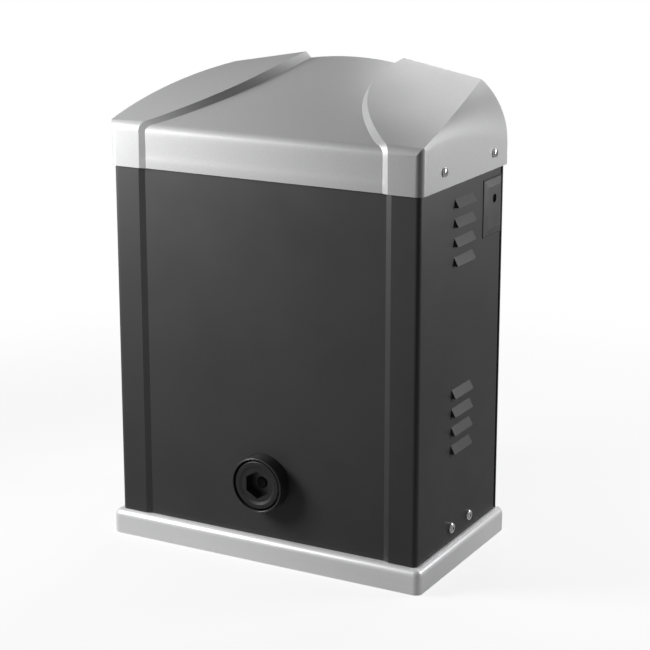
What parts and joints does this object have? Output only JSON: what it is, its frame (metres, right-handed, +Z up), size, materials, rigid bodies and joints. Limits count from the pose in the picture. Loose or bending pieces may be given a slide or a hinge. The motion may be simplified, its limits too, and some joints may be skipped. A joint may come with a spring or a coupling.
{
  "type": "sliding gate motor",
  "caption": "Floor-mounted geared motor in a sheet-metal cabinet; its rear pinion drives a sliding gate's rack, with a hex-key manual release in front.",
  "frame": {"origin": "centre of the four fixing slots, on the plinth's underside", "axes": "+X to the right seen from the front panel, -Y out of the front panel, +Y towards the gate and its rack, +Z up"},
  "size_m": [0.315, 0.225, 0.4328],
  "materials": {
    "plinth_metal": "brushed, bright",
    "black_rubber": "matt",
    "cabinet_paint": "fine satin anthracite",
    "panel_paint": "fine satin anthracite",
    "cap_plastic": "silver-grey satin",
    "zinc_sheet": "zinc plated",
    "screw_chrome": "bright",
    "cast_alloy": "as cast",
    "gasket_paper": "matt",
    "zinc_steel": "zinc plated",
    "ground_steel": "ground",
    "bearing_steel": "polished",
    "pinion_steel": "machined, oiled",
    "bronze": "machined bronze",
    "black_oxide": "blackened steel",
    "black_collar": "satin black",
    "black_hub": "matt black",
    "rotor_steel": "laminated",
    "motor_alloy": "extruded",
    "copper_wire": "varnished",
    "circuit_board": "solder mask",
    "terminal_plastic": "moulded",
    "relay_plastic": "moulded",
    "transformer_resin": "potted",
    "capacitor_sleeve": "sleeved",
    "capacitor_can": "moulded",
    "switch_plastic": "moulded",
    "microswitch_plastic": "moulded",
    "switch_shaft": "moulded",
    "lock_plastic": "satin dark grey",
    "lock_metal": "nickel plated"
  },
  "bodies": {
    "housing": {"base_plinth": "plinth_metal", "cable_grommet": "black_rubber", "front_cover": "cabinet_paint", "rear_panel": "panel_paint", "top_cap": "cap_plastic", "cover_brackets": "zinc_sheet", "rear_panel_screws": "screw_chrome", "gearcase": "cast_alloy", "gearcase_cover": "cast_alloy", "gearcase_gasket": "gasket_paper", "gearcase_screws": "zinc_steel", "gearcase_bolts": "zinc_steel", "bearing_outer_rings": "bearing_steel", "shaft_seals": "black_rubber", "release_collar": "black_collar", "motor_shell": "motor_alloy", "stator_core": "rotor_steel", "stator_windings": "copper_wire", "motor_end_shield": "cast_alloy", "motor_tie_bolts": "zinc_steel", "control_bracket": "zinc_sheet", "bracket_screws": "zinc_steel", "board_standoffs": "zinc_steel", "control_board": "circuit_board", "terminal_blocks": "terminal_plastic", "relays": "relay_plastic", "supply_transformer": "transformer_resin", "reservoir_capacitors": "capacitor_sleeve", "run_capacitor": "capacitor_can", "capacitor_clamp": "zinc_sheet", "limit_switch_housing": "switch_plastic", "limit_switch_lid": "switch_plastic", "microswitches": "microswitch_plastic", "lock_escutcheon": "lock_plastic", "lock_barrel": "lock_metal", "lock_nut": "zinc_steel", "lock_striker": "zinc_sheet", "side_screws": "screw_chrome", "rivet_nuts": "zinc_steel"},
    "output": {"output_shaft": "ground_steel", "output_bearing_inners": "bearing_steel", "drive_pinion": "pinion_steel", "pinion_key": "ground_steel", "pinion_retaining_screw": "zinc_steel", "wheel_spacer": "ground_steel"},
    "wheel": {"worm_wheel": "bronze"},
    "clutch": {"clutch_cone": "ground_steel", "clutch_rod": "black_oxide", "clutch_cross_pin": "ground_steel"},
    "release": {"release_hub": "black_hub", "hub_dog_screws": "zinc_steel"},
    "rotor": {"worm_shaft": "pinion_steel", "rotor_core": "rotor_steel", "rotor_bearing_inners": "bearing_steel"},
    "limit_lever": {"limit_cam_shaft": "switch_shaft", "limit_lever": "black_rubber", "limit_wand": "zinc_steel"},
    "lock": {"lock_plug": "lock_metal", "lock_cam": "zinc_sheet"}
  },
  "joints": [
    {"name": "rotor_spin", "type": "hinge", "parent": "housing", "child": "rotor", "pos_m": [-0.0515, 0.008, 0.2], "axis": [0, 0, 1], "continuous": true},
    {"name": "output_spin", "type": "hinge", "parent": "housing", "child": "output", "pos_m": [0, 0, 0.074], "axis": [0, 1, 0], "continuous": true},
    {"name": "wheel_spin", "type": "hinge", "parent": "housing", "child": "wheel", "pos_m": [0, 0.008, 0.074], "axis": [0, 1, 0], "continuous": true},
    {"name": "release_turn", "type": "hinge", "parent": "output", "child": "release", "pos_m": [0, -0.09, 0.074], "axis": [0, 1, 0], "range_deg": [0, 180]},
    {"name": "clutch_slide", "type": "slide", "parent": "output", "child": "clutch", "axis": [0, -1, 0], "range_m": [0, 0.0015]},
    {"name": "limit_swing", "type": "hinge", "parent": "housing", "child": "limit_lever", "pos_m": [0.036, 0.0926, 0.168], "axis": [0, 1, 0], "range_deg": [-35, 35], "stiffness_Nm_per_rad": 0.3},
    {"name": "lock_turn", "type": "hinge", "parent": "housing", "child": "lock", "pos_m": [0.13, 0.0603, 0.319], "axis": [1, 0, 0], "range_deg": [0, 90]}
  ],
  "couplings": [
    {"joint": "output_spin", "follows": "rotor_spin", "ratio": -0.033333},
    {"joint": "wheel_spin", "follows": "rotor_spin", "ratio": -0.033333},
    {"joint": "release_turn", "follows": "clutch_slide", "rad_per_m": 2094.4}
  ]
}
